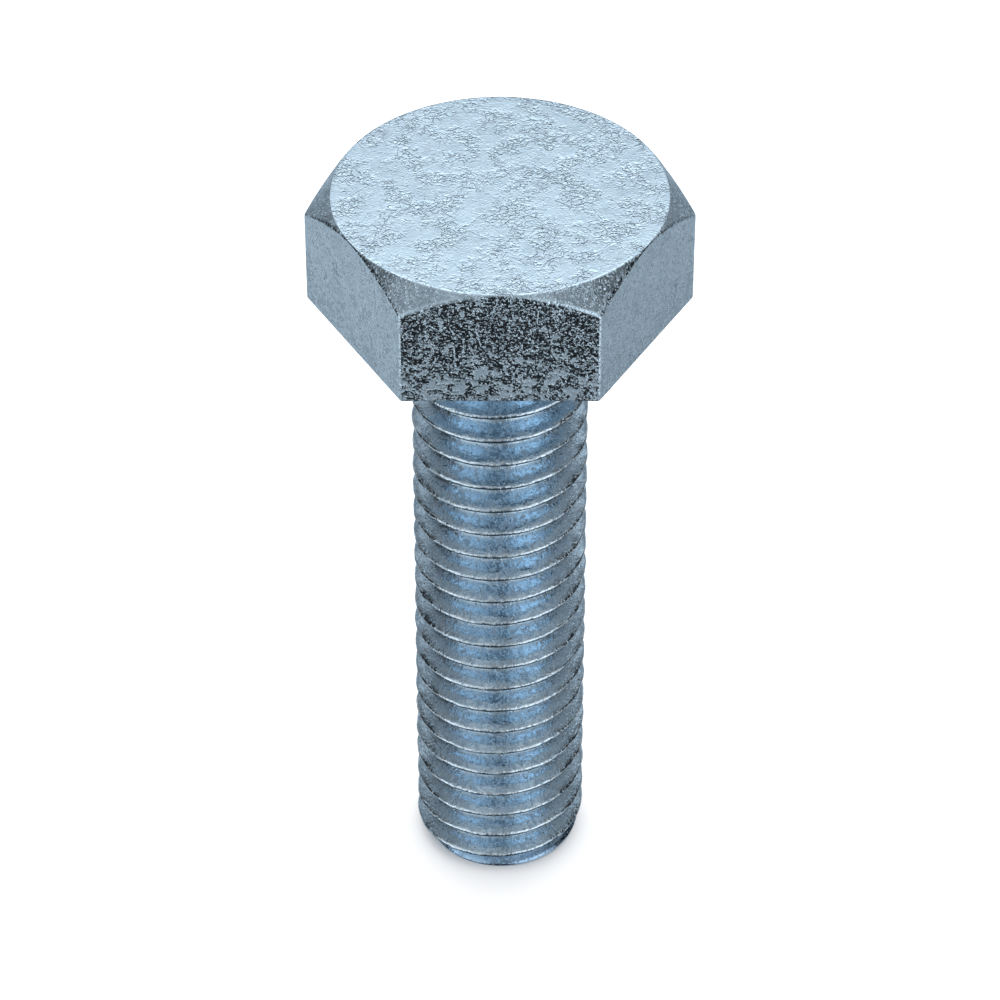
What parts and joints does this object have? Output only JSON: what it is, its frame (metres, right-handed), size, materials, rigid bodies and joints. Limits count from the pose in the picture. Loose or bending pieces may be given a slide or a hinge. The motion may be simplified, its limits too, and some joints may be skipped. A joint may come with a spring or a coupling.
{
  "type": "hex bolt",
  "caption": "Hex bolt with a round-chamfered hexagon head, threaded right up to the head and chamfered at the point.",
  "frame": {"origin": "on the bolt's axis, in the bearing plane under the head", "axes": "+Z along the axis from the point to the top of the head, -Y and +Y normal to two of the six wrench flats"},
  "size_m": [0.0064, 0.0054, 0.0139],
  "materials": {
    "zinc_plated_steel": "bright zinc plating with a blue tint, finely mottled, scratched and dented, with a dull spangle"
  },
  "bodies": {
    "root": {"hex_bolt": "zinc_plated_steel"}
  },
  "joints": []
}
